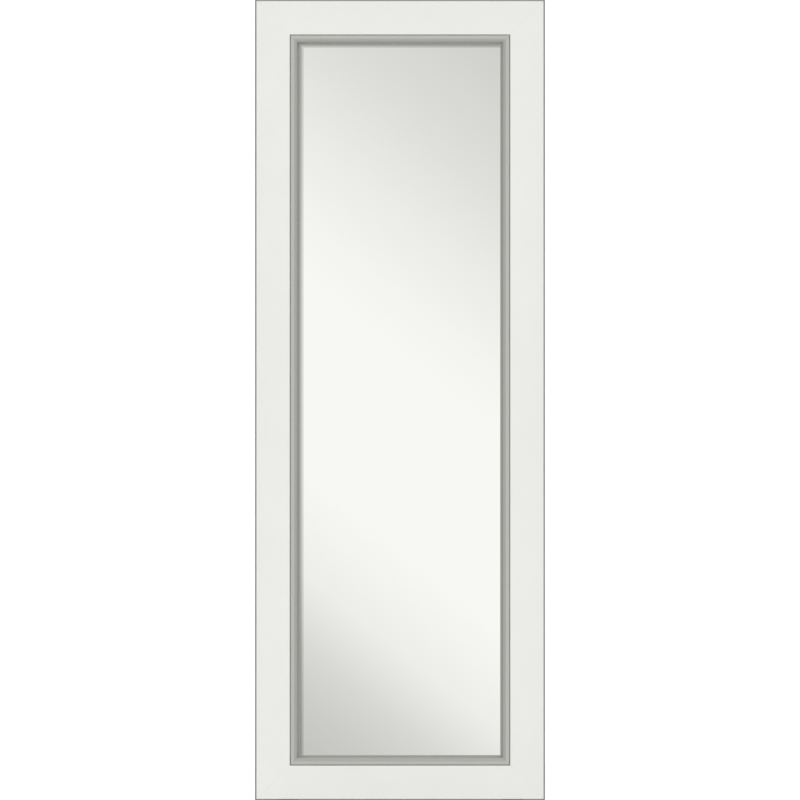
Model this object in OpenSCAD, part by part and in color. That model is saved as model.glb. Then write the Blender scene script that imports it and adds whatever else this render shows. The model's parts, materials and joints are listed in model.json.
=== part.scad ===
// Full-length floor mirror: a mitred white frame with a silver slip round the glass,
// and a bent-tube stand that folds flat behind it.
// Frame parts are drawn upright, with the face at y = 0, the bottom edge at z = 0 and
// the room side towards -y. leaned() then tilts them back onto the floor at z = 0.

/* [Frame] */
// Width of the moulding, silver slip included
moulding_w = 75.5; // [74:0.5:84]
// Depth of the moulding, front to back
moulding_t = 24; // [23:0.5:28]
// Width of the silver slip that shows round the glass
slip_w = 15.4; // [14:0.1:18]
// Shadow groove between the white face and the slip
groove_w = 1.2; // [0.8:0.1:2]
// Chamfer along the outer front edge
edge_chamfer = 2.4; // [1:0.1:4]

/* [Glass and backing] */
// Width of the glass
glass_w = 355.6; // [330:0.1:420]
// Height of the glass
glass_h = 1219.2; // [1200:0.1:1360]
// How far the glass runs under the slip on each side
glass_cover = 8; // [6:0.5:9]
// Thickness of the mirror glass
glass_t = 4; // [3:0.5:5]
// Thickness of the card spacer behind the glass
card_t = 3; // [2:0.5:3]
// Thickness of the hardboard back
board_t = 3; // [2.5:0.5:3.5]

/* [Stance] */
// How far the face leans back from upright, in degrees
lean = 8; // [6:0.5:10]
// Angle between the back of the frame and the open stand, in degrees
stand_angle = 15; // [13:0.5:15.5]
// Height of the stand's pivots, measured along the face
pivot_h = 900; // [860:5:940]

/* [Stand] */
// Outer diameter of the stand's tube
tube_d = 16; // [14:0.5:18]
// Wall of the stand's tube
tube_wall = 1.2; // [1:0.1:1.6]
// Centreline radius of the two bends
bend_r = 45; // [35:1:60]
// Distance from the frame's outer edge to the stand's tube
stand_inset = 30; // [28:1:32]
// Distance from the back of the frame to the pivot
pivot_off = 15; // [14.5:0.5:18]
// Outer diameter of the rubber sleeves that stand on the floor
sleeve_d = 21; // [20:0.5:24]

/* [Hidden] */
$fn = 48;

// Overall size of the frame, measured along its face
frame_w = glass_w + 2 * (moulding_w - glass_cover);
frame_h = glass_h + 2 * (moulding_w - glass_cover);

// Moulding section, as u from the outer edge inwards and y back from the face
lip_t = 6;
lip_reach = 8;
ease = 0.8;
face_w = moulding_w - slip_w - groove_w;
rebate_u = face_w - lip_reach;
slip_gap = 0.4;
slip_drop = 1.6;
slip_flat = 6;
slip_step = 1.6;
slip_r = 8.1;
slip_u = face_w + groove_w;
roll_w = slip_w - slip_flat - slip_step;
roll_end = asin(roll_w / slip_r);
roll_steps = 16;
glass_y = 10;
glass_gap = 0.5;
card_y = glass_y + glass_t;
board_y = card_y + card_t;
board_back = board_y + board_t;
glass_u = moulding_w - glass_cover;
board_u = rebate_u + 0.6;

// Fasteners: shank radius, head radius, head height and cross recess
wood_screw_r = 1.5;
screw_head_r = 3.4;
screw_head_h = 2.2;
screw_hole_gap = 0.1;
plate_hole_gap = 0.3;
recess_w = 0.9;
recess_l = 3.6;
recess_depth = 1.1;

// Clips that hold the board: one screw each, then a step down onto the board
clip_w = 12;
clip_t = 1.2;
clip_screw_u = 42;
clip_heel = 6;
clip_toe = 10;
clip_heights = [for (k = [-1.5, -0.5, 0.5, 1.5]) frame_h / 2 + k * 300];
clip_spread = 85;

// Corner joints
plate_leg = 60;
plate_w = 14;
plate_t = 2;
plate_inset = 12;
plate_holes = [26, 50];
nail_leg = 7;
nail_t = 0.8;
nail_depth = 10;
nail_spots = [33, 44];
nail_gap = 0.1;

// Hanger: a strap with a rolled eye, and a ring that swings in it
hanger_h = 1060;
strap_w = 16;
strap_l = 42;
strap_t = 1.2;
ring_wire_r = 1.4;
eye_r = ring_wire_r + 0.1;
eye_off = 2.8;
ring_half = 10.6;
ring_leg = 4.5;
strap_holes = [22, 35];

// Hinge bracket: one pressed blank, wide at both ends, with an ear bent up each side of its waist
stile_x = frame_w / 2 - stand_inset;
bracket_w = 32;
bracket_h = 68;
bracket_t = 2;
bracket_corner_r = 5;
waist_h = 24;
waist_corner_r = 1.5;
ear_bend_r = 1;
ear_r = 10;
bracket_holes = [25, 9];

// Bolt, washers and nut
bolt_r = 3;
bolt_hole_r = 3.08;
washer_t = 1;
washer_r = 6.5;
washer_gap = 0.1;
tube_r = tube_d / 2;
ear_in = tube_r + washer_t + 2 * washer_gap;
ear_out = ear_in + bracket_t;
waist_half = ear_in - ear_bend_r;
bolt_head_r = 5.2;
bolt_head_h = 3.4;
hex_key_r = 2.2;
nut_r = 5.6;
nut_h = 4.5;
collar_h = 1.6;
bolt_end = 1.5;

// Stand: the tube above the pivot meets the bracket's plate when the stand is open
stop_gap = 0.3;
plug_cap = 2.5;
stand_out = stand_angle - lean;
stop_reach = (pivot_off - bracket_t - stop_gap - tube_r * cos(stand_angle)) / sin(stand_angle);
sleeve_r = sleeve_d / 2;
sleeve_l = 40;
sleeve_x = stile_x - bend_r - 25;
sleeve_gap = 0.05;

// Feet under the bottom rail
pad_x = 190;
pad_w = 36;
pad_corner_r = 3;
pad_y = [4, moulding_t - 2];
pad_least = 3;
pad_screw_y = 15;
pad_screw_sink = 2.4;
pad_screw_head_r = 3;

// Stance: lift keeps the pads' thin edge at pad_least, shift centres the footprint on the origin
lift = moulding_t * sin(lean) + pad_least;
function row_y(y, z) = y * cos(lean) + z * sin(lean);
function row_z(y, z) = lift - y * sin(lean) + z * cos(lean);
pivot_y = moulding_t + pivot_off;
stand_l = (row_z(pivot_y, pivot_h) - sleeve_r) / cos(stand_out);
front_reach = edge_chamfer * sin(lean);
rear_reach = row_y(pivot_y, pivot_h) + stand_l * sin(stand_out) + sleeve_r;
shift = -(front_reach + rear_reach) / 2;

// Finishes
WHITE = [0.92, 0.92, 0.90];
SILVER = [0.72, 0.72, 0.70];
MIRROR = [0.86, 0.89, 0.88];
CARD = [0.66, 0.53, 0.37];
BOARD = [0.36, 0.24, 0.15];
ZINC = [0.75, 0.76, 0.76];
POWDER = [0.55, 0.56, 0.57];
RUBBER = [0.08, 0.08, 0.08];
NYLON = [0.90, 0.90, 0.88];

// ---- placing ----

module leaned() {
    translate([0, shift, lift]) rotate([-lean, 0, 0]) children();
}

// The stand's own frame: pivot axis on x, tube hanging down -z
module at_stand() {
    translate([0, shift + row_y(pivot_y, pivot_h), row_z(pivot_y, pivot_h)])
        rotate([stand_out, 0, 0]) children();
}

// The ring's own frame: eye axis on x, ring hanging plumb
module at_ring() {
    eye_y = moulding_t + eye_off;
    translate([stile_x, shift + row_y(eye_y, hanger_h), row_z(eye_y, hanger_h)]) children();
}

module left_side() {
    mirror([1, 0, 0]) children();
}

module both_sides() {
    children();
    left_side() children();
}

// A spot on the back of the frame, with z pointing out of the back
module on_back(x, z, height = 0) {
    translate([x, moulding_t + height, z]) rotate([-90, 0, 0]) children();
}

// A copy at each corner of the frame, drawn for the lower left one
module at_corners() {
    for (sx = [0, 1])
        for (sz = [0, 1])
            translate([0, 0, frame_h / 2])
                mirror([sx, 0, 0])
                    mirror([0, 0, sz])
                        translate([-frame_w / 2, 0, -frame_h / 2]) children();
}

// Turns a bar drawn along the bottom edge to one of the four edges
module at_edge(side) {
    turn = side == "bottom" ? 0 : side == "left" ? 90 : side == "top" ? 180 : -90;
    reach = side == "bottom" || side == "top" ? frame_h / 2 : frame_w / 2;
    translate([0, 0, frame_h / 2]) rotate([0, turn, 0]) translate([0, 0, -reach]) children();
}

function edge_length(side) = side == "bottom" || side == "top" ? frame_w : frame_h;

// An outline with each corner [x, y, radius] rounded by the circle that fits inside it
function rounded(corners, steps = 6) = [
    for (i = [0:len(corners) - 1])
        let (c = corners[i],
             before = corners[(i + len(corners) - 1) % len(corners)],
             after = corners[(i + 1) % len(corners)],
             a = [before[0] - c[0], before[1] - c[1]] / norm([before[0] - c[0], before[1] - c[1]]),
             b = [after[0] - c[0], after[1] - c[1]] / norm([after[0] - c[0], after[1] - c[1]]),
             centre = [c[0], c[1]] + (a + b) * c[2])
            each c[2] == 0 ? [[c[0], c[1]]] :
                [for (k = [0:steps]) let (t = 90 * k / steps) centre - b * c[2] * cos(t) - a * c[2] * sin(t)]
];

function arc(cx, cy, r, from, to, steps) =
    [for (i = [0:steps]) let (a = from + (to - from) * i / steps) [cx + r * cos(a), cy + r * sin(a)]];

// ---- moulding ----

// A bar of the given section along x, mitred at both ends
module mitred_bar(section, length) {
    intersection() {
        rotate([90, 0, 90]) linear_extrude(height = length, center = true) polygon(section);
        rotate([90, 0, 0]) translate([0, 0, -moulding_t - 1])
            linear_extrude(height = moulding_t + 2)
                polygon([[-length / 2, 0], [length / 2, 0],
                         [length / 2 - moulding_w, moulding_w], [moulding_w - length / 2, moulding_w]]);
    }
}

// Sections are written as (u, y); the bar wants y first, because its extrusion lays them down as (y, z)
function as_bar(section) = [for (p = section) [p[1], p[0]]];

rail_section = as_bar(concat(
    [[0, moulding_t], [0, edge_chamfer], [edge_chamfer, 0]],
    arc(face_w - ease, ease, ease, -90, 0, 4),
    [[face_w, lip_t], [rebate_u, lip_t], [rebate_u, moulding_t]]
));

slip_section = as_bar(concat(
    [[rebate_u + slip_gap, lip_t + slip_gap], [slip_u, lip_t + slip_gap], [slip_u, slip_drop + 0.6],
     [slip_u + 0.6, slip_drop]],
    arc(slip_u + slip_flat, slip_drop + slip_r, slip_r, -90, roll_end - 90, roll_steps),
    let (step_y = slip_drop + slip_r * (1 - cos(roll_end)))
        [[moulding_w - 0.4, step_y], [moulding_w, step_y + 0.4]],
    [[moulding_w, glass_y - 0.1], [glass_u - glass_gap, glass_y - 0.1], [glass_u - glass_gap, board_y],
     [rebate_u + slip_gap, board_y]]
));

module rail(side) {
    color(WHITE) leaned() difference() {
        at_edge(side) mitred_bar(rail_section, edge_length(side));
        screw_holes();
        at_corners() nail_pair(nail_gap);
    }
}

module slip(side) {
    color(SILVER) leaned() at_edge(side) mitred_bar(slip_section, edge_length(side));
}

// ---- glass and backing ----

// A flat sheet whose edges lie u inside the frame's outer edges
module sheet(u, y, t) {
    leaned() translate([u - frame_w / 2, y, u]) cube([frame_w - 2 * u, t, frame_h - 2 * u]);
}

module backing_clip() {
    step = moulding_t - board_back;
    rise_u = rebate_u + 0.5 - clip_screw_u;
    on_back(0, 0) difference() {
        translate([-clip_w / 2, 0, 0]) rotate([90, 0, 90]) linear_extrude(height = clip_w)
            polygon([[clip_heel, 0], [-rise_u, 0], [-rise_u - 1.5, -step], [-rise_u - clip_toe, -step],
                     [-rise_u - clip_toe, clip_t - step], [-rise_u - 2.3, clip_t - step],
                     [-rise_u - 0.8, clip_t], [clip_heel, clip_t]]);
        translate([0, 0, -1]) cylinder(h = clip_t + 2, r = wood_screw_r + plate_hole_gap);
    }
}

// A copy at each clip, drawn for one whose screw is at the origin and whose toe points up
module at_clips() {
    for (side = ["left", "right"])
        for (z = clip_heights)
            at_edge(side) translate([(side == "left" ? -1 : 1) * (z - frame_h / 2), 0, clip_screw_u])
                children();
    for (side = ["bottom", "top"])
        for (x = [-clip_spread, clip_spread])
            at_edge(side) translate([x, 0, clip_screw_u]) children();
}

module backing_clips() {
    color(ZINC) leaned() at_clips() backing_clip();
}

// ---- screws ----

// Head up along z with its seat at z = 0, shank below
module pan_screw(length) {
    dome_r = (screw_head_r * screw_head_r + screw_head_h * screw_head_h) / (2 * screw_head_h);
    difference() {
        union() {
            intersection() {
                translate([0, 0, screw_head_h - dome_r]) sphere(r = dome_r);
                cylinder(h = screw_head_h, r = screw_head_r - 0.05);
            }
            translate([0, 0, -length]) cylinder(h = length + 0.5, r = wood_screw_r);
        }
        for (turn = [0, 90])
            rotate([0, 0, turn]) translate([-recess_l / 2, -recess_w / 2, screw_head_h - recess_depth])
                cube([recess_l, recess_w, recess_depth + 1]);
    }
}

module at_plate_screws() {
    mid = plate_inset + plate_w / 2;
    at_corners()
        for (along = plate_holes) {
            translate([mid + along - plate_w / 2, 0, mid]) children();
            translate([mid, 0, mid + along - plate_w / 2]) children();
        }
}

module at_bracket_screws() {
    for (sx = [-1, 1])
        for (dx = [-1, 1])
            for (dz = [-1, 1])
                translate([sx * stile_x + dx * bracket_holes[1], 0, pivot_h + dz * bracket_holes[0]])
                    children();
}

module at_hanger_screws() {
    for (sx = [-1, 1])
        for (down = strap_holes)
            translate([sx * stile_x, 0, hanger_h - down]) children();
}

clip_screw_l = 14;
plate_screw_l = 13;
bracket_screw_l = 16;
hanger_screw_l = 14;
pad_screw_l = 16;

// Pilot holes in the wood, each a little wider and deeper than its screw
module pilot(length) {
    on_back(0, 0) translate([0, 0, -length]) cylinder(h = length + 1, r = wood_screw_r + screw_hole_gap);
}

module screw_holes() {
    at_clips() pilot(clip_screw_l);
    at_plate_screws() pilot(plate_screw_l);
    at_bracket_screws() pilot(bracket_screw_l);
    at_hanger_screws() pilot(hanger_screw_l);
    at_pad_screws() translate([0, 0, -1]) cylinder(h = pad_screw_l, r = wood_screw_r + screw_hole_gap);
}

module clip_screws() {
    color(ZINC) leaned() at_clips() on_back(0, 0, clip_t) pan_screw(clip_screw_l - 1);
}

module corner_plate_screws() {
    color(ZINC) leaned() at_plate_screws() on_back(0, 0, plate_t) pan_screw(plate_screw_l - 1);
}

module bracket_screws() {
    color(ZINC) leaned() at_bracket_screws() on_back(0, 0, bracket_t) pan_screw(bracket_screw_l - 1);
}

module hanger_screws() {
    color(ZINC) leaned() at_hanger_screws() on_back(0, 0, strap_t) pan_screw(hanger_screw_l - 1);
}

// ---- corner joints ----

// One V of thin steel across the mitre, for the lower left corner
module nail_pair(gap) {
    for (spot = nail_spots)
        translate([spot, moulding_t - nail_depth - gap, spot])
            for (turn = [-45 - 35, -45 + 35])
                rotate([0, turn, 0])
                    translate([-nail_t / 2 - gap, 0, -nail_t / 2 - gap])
                        cube([nail_leg + nail_t / 2 + 2 * gap, nail_depth + 10 * gap, nail_t + 2 * gap]);
}

module corner_v_nails() {
    color(ZINC) leaned() at_corners() nail_pair(0);
}

module corner_plates() {
    mid = plate_w / 2;
    color(ZINC) leaned() at_corners()
        translate([plate_inset, moulding_t, plate_inset]) difference() {
            translate([0, plate_t, 0]) rotate([90, 0, 0]) linear_extrude(height = plate_t)
                polygon(rounded([[0, 0, 4], [plate_leg, 0, 5], [plate_leg, plate_w, 5], [plate_w, plate_w, 1],
                                 [plate_w, plate_leg, 5], [0, plate_leg, 5]]));
            for (along = plate_holes) {
                translate([along, -1, mid]) rotate([-90, 0, 0])
                    cylinder(h = plate_t + 2, r = wood_screw_r + plate_hole_gap);
                translate([mid, -1, along]) rotate([-90, 0, 0])
                    cylinder(h = plate_t + 2, r = wood_screw_r + plate_hole_gap);
            }
        }
}

// ---- hangers ----

module hanger_strap() {
    color(ZINC) leaned() translate([stile_x, moulding_t, hanger_h]) difference() {
        union() {
            translate([-strap_w / 2, eye_off, 0]) rotate([0, 90, 0])
                cylinder(h = strap_w, r = eye_r + strap_t);
            translate([0, strap_t, 0]) rotate([90, 0, 0]) linear_extrude(height = strap_t)
                polygon(rounded([[-strap_w / 2, 0, 0], [-strap_w / 2, -strap_l, 5],
                                 [strap_w / 2, -strap_l, 5], [strap_w / 2, 0, 0]]));
        }
        translate([-strap_w, eye_off, 0]) rotate([0, 90, 0]) cylinder(h = 2 * strap_w, r = eye_r);
        for (down = strap_holes)
            translate([0, -1, -down]) rotate([-90, 0, 0])
                cylinder(h = strap_t + 2, r = wood_screw_r + plate_hole_gap);
    }
}

module hanger_ring() {
    color(ZINC) at_ring() {
        bar = 2 * ring_half;
        union() {
            translate([-ring_half - ring_wire_r, 0, 0]) rotate([0, 90, 0])
                cylinder(h = bar + 2 * ring_wire_r, r = ring_wire_r);
            for (sx = [-1, 1])
                translate([sx * ring_half, 0, -ring_leg]) cylinder(h = ring_leg, r = ring_wire_r);
            translate([0, 0, -ring_leg]) rotate([90, 180, 0])
                rotate_extrude(angle = 180) translate([ring_half, 0]) circle(r = ring_wire_r);
        }
    }
}

// ---- feet ----

module at_pad_screws() {
    for (sx = [-1, 1])
        translate([sx * pad_x, pad_screw_y, 0]) children();
}

// A rubber wedge: its top follows the leaning rail, its sole lies on the floor
module foot_pad() {
    color(RUBBER) difference() {
        leaned() difference() {
            translate([pad_x, 0, -2 * lift]) linear_extrude(height = 2 * lift)
                polygon(rounded([for (c = [[-1, 0], [1, 0], [1, 1], [-1, 1]])
                    [c[0] * pad_w / 2, pad_y[c[1]], pad_corner_r]]));
            translate([pad_x, pad_screw_y, -lift * 3])
                cylinder(h = lift * 4, r = wood_screw_r + plate_hole_gap);
            translate([pad_x, pad_screw_y, -lift * 3])
                cylinder(h = lift * 3 - pad_least + pad_screw_sink, r = pad_screw_head_r + plate_hole_gap);
        }
        translate([0, shift - moulding_t, -3 * lift]) cube([frame_w, 3 * moulding_t, 3 * lift]);
    }
}

module foot_pad_screws() {
    head = 1.6;
    color(ZINC) leaned() at_pad_screws() difference() {
        union() {
            translate([0, 0, pad_screw_sink - pad_least - head])
                cylinder(h = head, r = pad_screw_head_r);
            translate([0, 0, pad_screw_sink - pad_least - head])
                cylinder(h = pad_screw_l - 2, r = wood_screw_r);
        }
        for (turn = [0, 90])
            rotate([0, 0, turn])
                translate([-recess_l / 2, -recess_w / 2, pad_screw_sink - pad_least - head - 1])
                    cube([recess_l, recess_w, 1.8]);
    }
}

// ---- hinge ----

// Side outline of an ear: square at the plate, round about the pivot
ear_outline = concat(
    [[-ear_r, 0], [ear_r, 0]],
    arc(0, pivot_off, ear_r, 0, 180, 16)
);

// Section through both ears and the waist between them, as x and height off the wood
ear_top = pivot_off + ear_r + 1;
bend_h = bracket_t + ear_bend_r;
channel_section = concat(
    [[-ear_out, ear_top]],
    arc(-waist_half, bend_h, bend_h, 180, 270, 8),
    arc(waist_half, bend_h, bend_h, 270, 360, 8),
    [[ear_out, ear_top], [ear_in, ear_top]],
    arc(waist_half, bend_h, ear_bend_r, 0, -90, 8),
    arc(-waist_half, bend_h, ear_bend_r, -90, -180, 8),
    [[-ear_in, ear_top]]
);

// The wide ends and the waist, drawn flat
bracket_outline = rounded([
    for (turn = [1, -1])
        for (c = [[bracket_w, -bracket_h, bracket_corner_r], [bracket_w, -waist_h, waist_corner_r],
                  [2 * waist_half, -waist_h, waist_corner_r], [2 * waist_half, waist_h, waist_corner_r],
                  [bracket_w, waist_h, waist_corner_r], [bracket_w, bracket_h, bracket_corner_r]])
            [turn * c[0] / 2, turn * c[1] / 2, c[2]]
]);

module hinge_bracket() {
    color(ZINC) leaned() on_back(stile_x, pivot_h) difference() {
        union() {
            linear_extrude(height = bracket_t) polygon(bracket_outline);
            intersection() {
                rotate([90, 0, 0]) linear_extrude(height = 2 * ear_r, center = true) polygon(channel_section);
                rotate([90, 0, 90]) linear_extrude(height = bracket_w, center = true) polygon(ear_outline);
            }
        }
        translate([-bracket_w, 0, pivot_off]) rotate([0, 90, 0]) cylinder(h = 2 * bracket_w, r = bolt_hole_r);
        for (dx = [-1, 1])
            for (dy = [-1, 1])
                translate([dx * bracket_holes[1], dy * bracket_holes[0], -1])
                    cylinder(h = bracket_t + 2, r = wood_screw_r + plate_hole_gap);
    }
}

// Draws along +x, from the middle of the tube outwards
module on_pivot() {
    leaned() on_back(stile_x, pivot_h, pivot_off) rotate([0, 90, 0]) children();
}

module pivot_bolt() {
    head_z = ear_out;
    tail_z = -ear_out - nut_h - collar_h - bolt_end;
    color(ZINC) on_pivot() difference() {
        union() {
            translate([0, 0, tail_z]) cylinder(h = head_z - tail_z + 0.5, r = bolt_r);
            translate([0, 0, head_z + 0.02]) cylinder(h = bolt_head_h * 0.5, r = bolt_head_r);
            translate([0, 0, head_z + 0.02 + bolt_head_h * 0.5])
                cylinder(h = bolt_head_h * 0.5, r1 = bolt_head_r, r2 = bolt_head_r - 1.6, $fn = 64);
        }
        translate([0, 0, head_z + bolt_head_h - 1.9]) cylinder(h = 3, r = hex_key_r, $fn = 6);
    }
}

module pivot_washers() {
    color(NYLON) both_sides() on_pivot()
        for (z = [-tube_r - washer_gap - washer_t, tube_r + washer_gap])
            translate([0, 0, z]) difference() {
                cylinder(h = washer_t, r = washer_r);
                translate([0, 0, -1]) cylinder(h = washer_t + 2, r = bolt_hole_r);
            }
}

module pivot_nuts() {
    color(ZINC) both_sides() on_pivot()
        translate([0, 0, -ear_out - 0.02]) mirror([0, 0, 1]) difference() {
            union() {
                cylinder(h = nut_h, r = nut_r, $fn = 6);
                translate([0, 0, nut_h]) cylinder(h = collar_h, r = nut_r * 0.82);
            }
            translate([0, 0, -1]) cylinder(h = nut_h + collar_h + 2, r = bolt_r + 0.02);
        }
}

// ---- stand ----

// The bent U as a solid rod of radius r, its two top ends at height top
module bent_rod(r, top) {
    straight = stand_l - bend_r;
    for (sx = [-1, 1])
        translate([sx * stile_x, 0, -straight]) cylinder(h = straight + top, r = r);
    translate([bend_r - stile_x, 0, -stand_l]) rotate([0, 90, 0]) cylinder(h = 2 * (stile_x - bend_r), r = r);
    translate([stile_x - bend_r, 0, -straight]) rotate([90, 90, 0])
        rotate_extrude(angle = 90) translate([bend_r, 0]) circle(r = r);
    translate([bend_r - stile_x, 0, -straight]) rotate([90, 180, 0])
        rotate_extrude(angle = 90) translate([bend_r, 0]) circle(r = r);
}

module stand_tube() {
    top = stop_reach - plug_cap;
    color(POWDER) at_stand() difference() {
        bent_rod(tube_r, top);
        bent_rod(tube_r - tube_wall, top + 1);
        translate([-frame_w / 2, 0, 0]) rotate([0, 90, 0]) cylinder(h = frame_w, r = bolt_hole_r);
    }
}

module tube_plug() {
    top = stop_reach - plug_cap;
    stem = 6;
    color(RUBBER) at_stand() translate([stile_x, 0, top]) {
        cylinder(h = plug_cap, r = tube_r);
        translate([0, 0, -stem]) cylinder(h = stem, r = tube_r - tube_wall - 0.05);
    }
}

module stand_sleeve() {
    color(RUBBER) at_stand() translate([sleeve_x - sleeve_l / 2, 0, -stand_l]) rotate([0, 90, 0])
        difference() {
            cylinder(h = sleeve_l, r = sleeve_r);
            translate([0, 0, -1]) cylinder(h = sleeve_l + 2, r = tube_r + sleeve_gap);
        }
}

// ---- nodes ----

for (side = ["top", "bottom"]) {
    rail(side);
    slip(side);
}
for (side = ["left", "right"]) {
    rail(side);
    slip(side);
}
color(MIRROR) sheet(glass_u, glass_y, glass_t);  // mirror_glass
color(CARD) sheet(glass_u, card_y, card_t);  // card_spacer
color(BOARD) sheet(board_u, board_y, board_t);  // backing_board
backing_clips();
clip_screws();
corner_v_nails();
corner_plates();
corner_plate_screws();
left_side() hanger_strap();  // left_hanger_strap
hanger_strap();  // right_hanger_strap
left_side() hanger_ring();  // left_hanger_ring
hanger_ring();  // right_hanger_ring
hanger_screws();
left_side() foot_pad();  // left_foot_pad
foot_pad();  // right_foot_pad
foot_pad_screws();
left_side() hinge_bracket();  // left_hinge_bracket
hinge_bracket();  // right_hinge_bracket
bracket_screws();
left_side() pivot_bolt();  // left_pivot_bolt
pivot_bolt();  // right_pivot_bolt
pivot_washers();
pivot_nuts();
stand_tube();
left_side() tube_plug();  // left_tube_plug
tube_plug();  // right_tube_plug
left_side() stand_sleeve();  // left_stand_sleeve
stand_sleeve();  // right_stand_sleeve
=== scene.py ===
import json
import math

import bmesh
import bpy
import numpy as np
from mathutils import Matrix, Vector
from mathutils.geometry import tessellate_polygon


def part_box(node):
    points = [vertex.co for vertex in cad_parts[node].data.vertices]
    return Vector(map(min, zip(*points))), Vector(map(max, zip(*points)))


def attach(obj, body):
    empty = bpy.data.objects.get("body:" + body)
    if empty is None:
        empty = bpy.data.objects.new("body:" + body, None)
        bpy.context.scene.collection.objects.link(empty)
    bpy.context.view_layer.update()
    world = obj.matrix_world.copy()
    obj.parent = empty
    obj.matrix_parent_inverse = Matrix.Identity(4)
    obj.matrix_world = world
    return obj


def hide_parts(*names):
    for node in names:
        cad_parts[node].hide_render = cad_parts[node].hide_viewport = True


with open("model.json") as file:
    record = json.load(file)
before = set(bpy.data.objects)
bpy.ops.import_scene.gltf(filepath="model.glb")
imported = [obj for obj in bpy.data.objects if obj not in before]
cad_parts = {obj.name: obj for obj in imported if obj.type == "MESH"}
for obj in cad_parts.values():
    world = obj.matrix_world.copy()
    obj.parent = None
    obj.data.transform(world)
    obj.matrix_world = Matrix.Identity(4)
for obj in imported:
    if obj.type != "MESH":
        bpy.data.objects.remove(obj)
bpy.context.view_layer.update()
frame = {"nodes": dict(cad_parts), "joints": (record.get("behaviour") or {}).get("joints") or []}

scene = bpy.context.scene
MM = 0.001

# ---------------------------------------------------------------- sizes and axes
# Sections are in millimetres, as in the CAD: u runs in from the frame's outer edge, y back from its face.
MOULDING_W, MOULDING_T = 75.5, 24.0
SLIP_W, GROOVE_W = 15.4, 1.2
FACE_W = MOULDING_W - SLIP_W - GROOVE_W
LIP_T = 6.0
REBATE_U = FACE_W - 8.0
SLIP_U = FACE_W + GROOVE_W
GLASS_Y, GLASS_T = 10.0, 4.0
BOARD_Y, BOARD_T = 17.0, 3.0

# The glass gives the lean: its front face runs from the corner of lowest y to the corner of highest z.
glass = [v.co for v in frame["nodes"]["mirror_glass"].data.vertices]
foot = min(glass, key=lambda p: p.y)
head = max(glass, key=lambda p: p.z)
RIGHT = Vector((1, 0, 0))
UP = Vector((0, head.y - foot.y, head.z - foot.z)).normalized()
INWARD = UP.cross(RIGHT)
TO_FRONT = -INWARD

glass_low, glass_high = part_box("mirror_glass")
rail_low, rail_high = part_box("top_rail")
FRAME_W = (rail_high.x - rail_low.x) / MM
GLASS_U = (FRAME_W - (glass_high.x - glass_low.x) / MM) / 2
FRAME_H = (head - foot).dot(UP) / MM + 2 * GLASS_U

# LEAN takes straight axes in millimetres to the row frame. In them the face is at y = 0 and the bottom edge
# at z = 0.
axes = Matrix((RIGHT, INWARD, UP)).transposed()
zero = Vector((0, foot.y, foot.z)) - axes @ Vector((0, GLASS_Y, GLASS_U)) * MM
LEAN = Matrix.Translation(zero) @ axes.to_4x4() @ Matrix.Scale(MM, 4)
UNLEAN = LEAN.inverted()

# ---------------------------------------------------------------- camera
# The camera looks square on to the face from a distance, and the frame fills the height of the picture.
SHOT_D = 6.0
FILLS = 1.001
middle = LEAN @ Vector((0, 0, FRAME_H / 2))
FACING_SHOT = Matrix((RIGHT, UP, TO_FRONT)).transposed().to_4x4()
camera = bpy.data.objects.new("camera", bpy.data.cameras.new("camera"))
scene.collection.objects.link(camera)
scene.camera = camera
camera.matrix_world = Matrix.Translation(middle + TO_FRONT * SHOT_D) @ FACING_SHOT
camera.data.sensor_width = 36
camera.data.lens = camera.data.sensor_width * SHOT_D / (FRAME_H * MM) * FILLS
camera.data.clip_end = 100


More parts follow.
